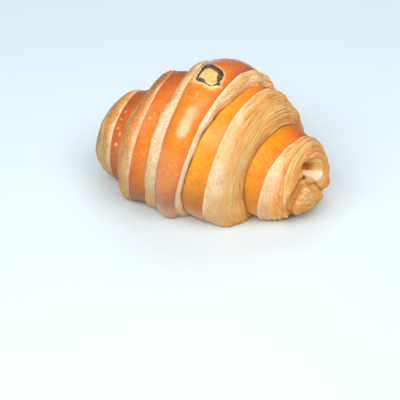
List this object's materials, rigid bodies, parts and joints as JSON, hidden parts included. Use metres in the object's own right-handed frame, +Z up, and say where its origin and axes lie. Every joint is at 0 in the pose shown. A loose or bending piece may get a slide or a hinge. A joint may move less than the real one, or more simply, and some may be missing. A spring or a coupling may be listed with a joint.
{
  "type": "croissant",
  "caption": "Plump baked croissant with a wide glossy middle band, layered cut faces stepping down to blunt ends, and a small dark ring baked onto its top.",
  "frame": {"origin": "centre of the bounding box at the flat base", "axes": "+X along the roll, towards the end with the open spiral; -Y is the front, +Z up"},
  "size_m": [0.116, 0.0799, 0.0728],
  "materials": {
    "baked_dough": "egg-washed crust, glossy golden brown skin with matt cream cut layers",
    "dried_garnish": "dried and browned, slightly shiny"
  },
  "bodies": {
    "root": {"croissant": "baked_dough", "garnish_ring": "dried_garnish"}
  },
  "joints": []
}
